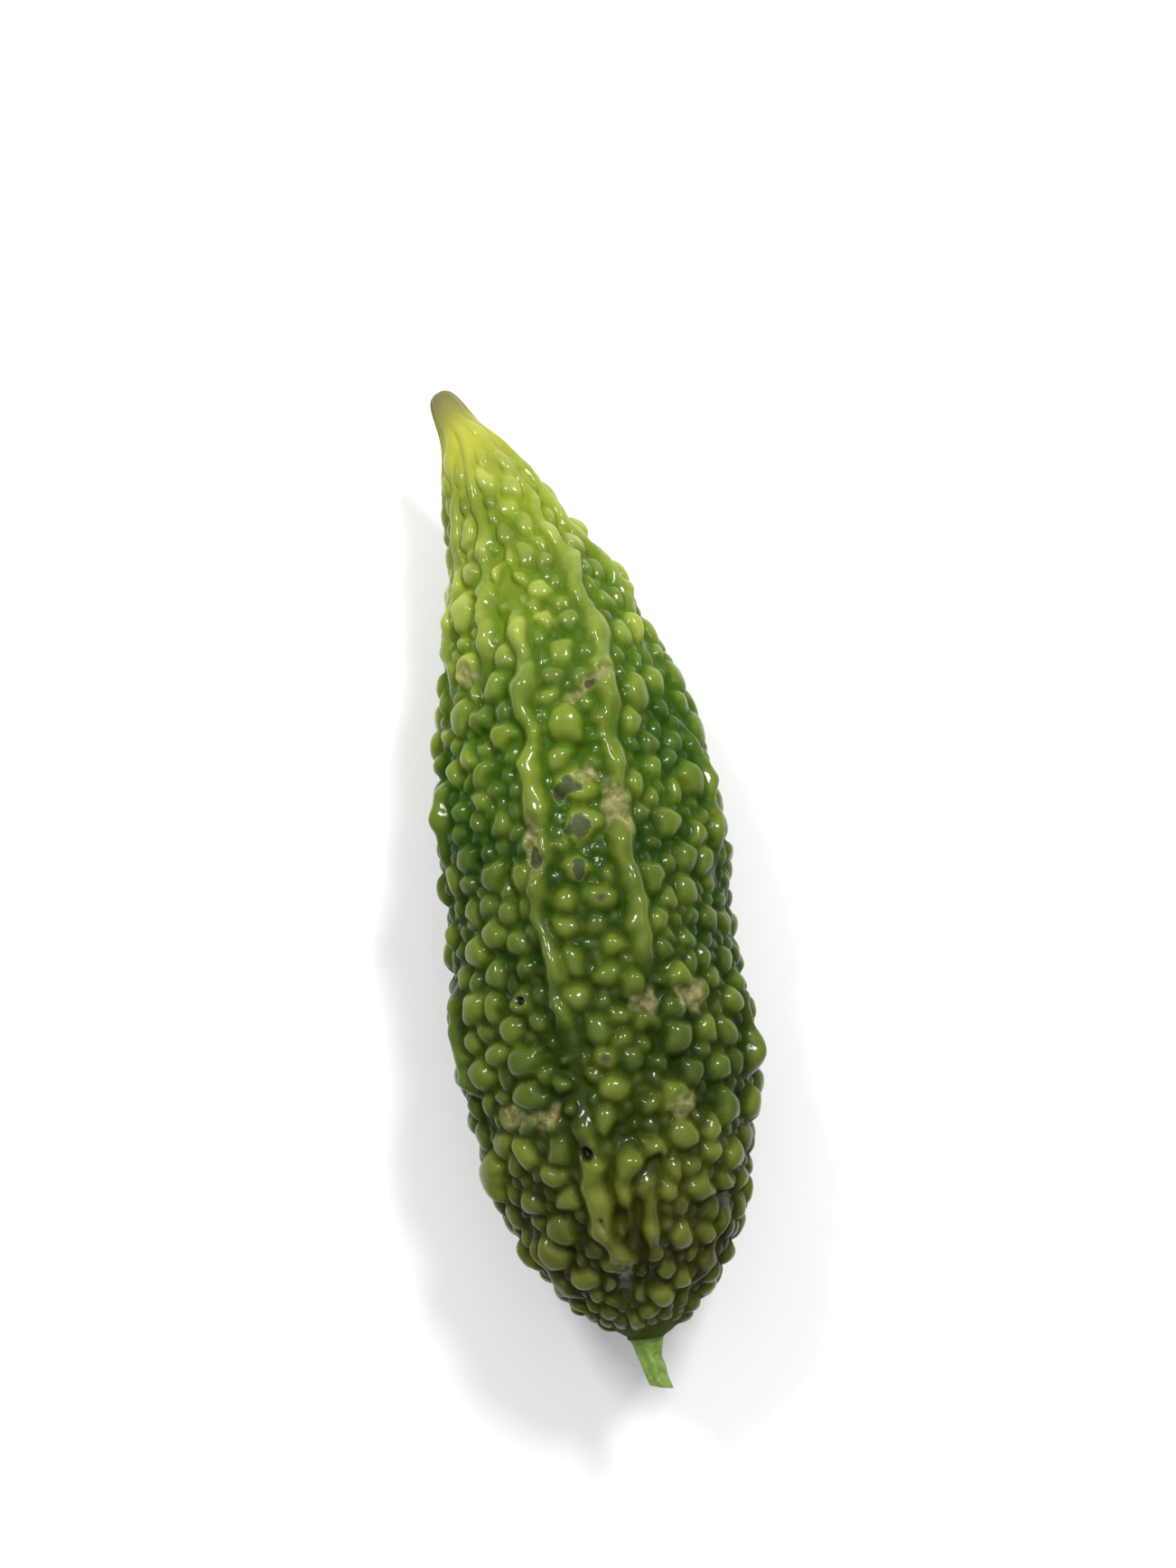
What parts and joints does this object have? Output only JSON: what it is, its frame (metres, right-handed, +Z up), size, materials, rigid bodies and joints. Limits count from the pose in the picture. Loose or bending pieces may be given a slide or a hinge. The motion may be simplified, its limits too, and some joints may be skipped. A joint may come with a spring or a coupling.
{
  "type": "bitter gourd",
  "caption": "Whole warty green bitter gourd with long ridges, a hooked pointed tip and a short cut stalk, lying on its side.",
  "frame": {"origin": "bottom centre of the whole gourd's bounding box, on the surface that it lies on", "axes": "+Y along the fruit towards its pointed blossom end, +Z up, +X to the right when looking along +Y"},
  "size_m": [0.0652, 0.2214, 0.0638],
  "materials": {
    "skin": "waxy, semi-gloss, mottled green skin",
    "stalk": "fresh green fibrous stem, satin"
  },
  "bodies": {
    "root": {"fruit": "skin", "stalk": "stalk"}
  },
  "joints": []
}
